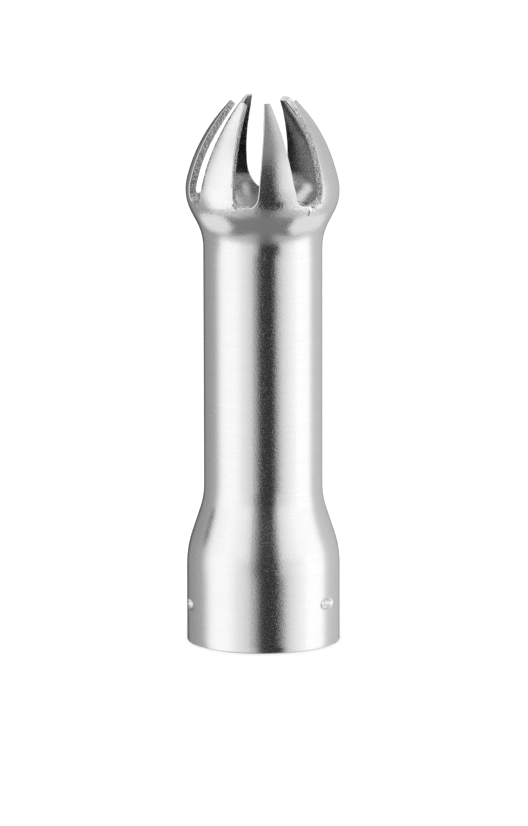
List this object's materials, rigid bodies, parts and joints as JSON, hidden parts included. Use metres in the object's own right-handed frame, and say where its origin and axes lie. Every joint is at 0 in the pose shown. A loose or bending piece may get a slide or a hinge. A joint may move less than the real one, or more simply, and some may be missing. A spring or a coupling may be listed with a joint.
{
  "type": "whipped cream decorating tip",
  "caption": "Stainless screw-on decorating tip of a cream whipper: flared base, straight tube and a bulb cut into curved prongs.",
  "frame": {"origin": "on the tip's axis, in the plane of its base rim", "axes": "+Z along the axis from the open base to the prongs, +X to the right in the picture, -Y toward its camera"},
  "size_m": [0.019, 0.019, 0.068],
  "materials": {
    "shell_steel": "fine circumferential polish with short bright speckles, bare cut edges on the prongs",
    "insert_steel": "machined",
    "seal_rubber": "matt pale silicone"
  },
  "bodies": {
    "root": {"tip_shell": "shell_steel", "threaded_insert": "insert_steel", "sealing_washer": "seal_rubber"}
  },
  "joints": []
}
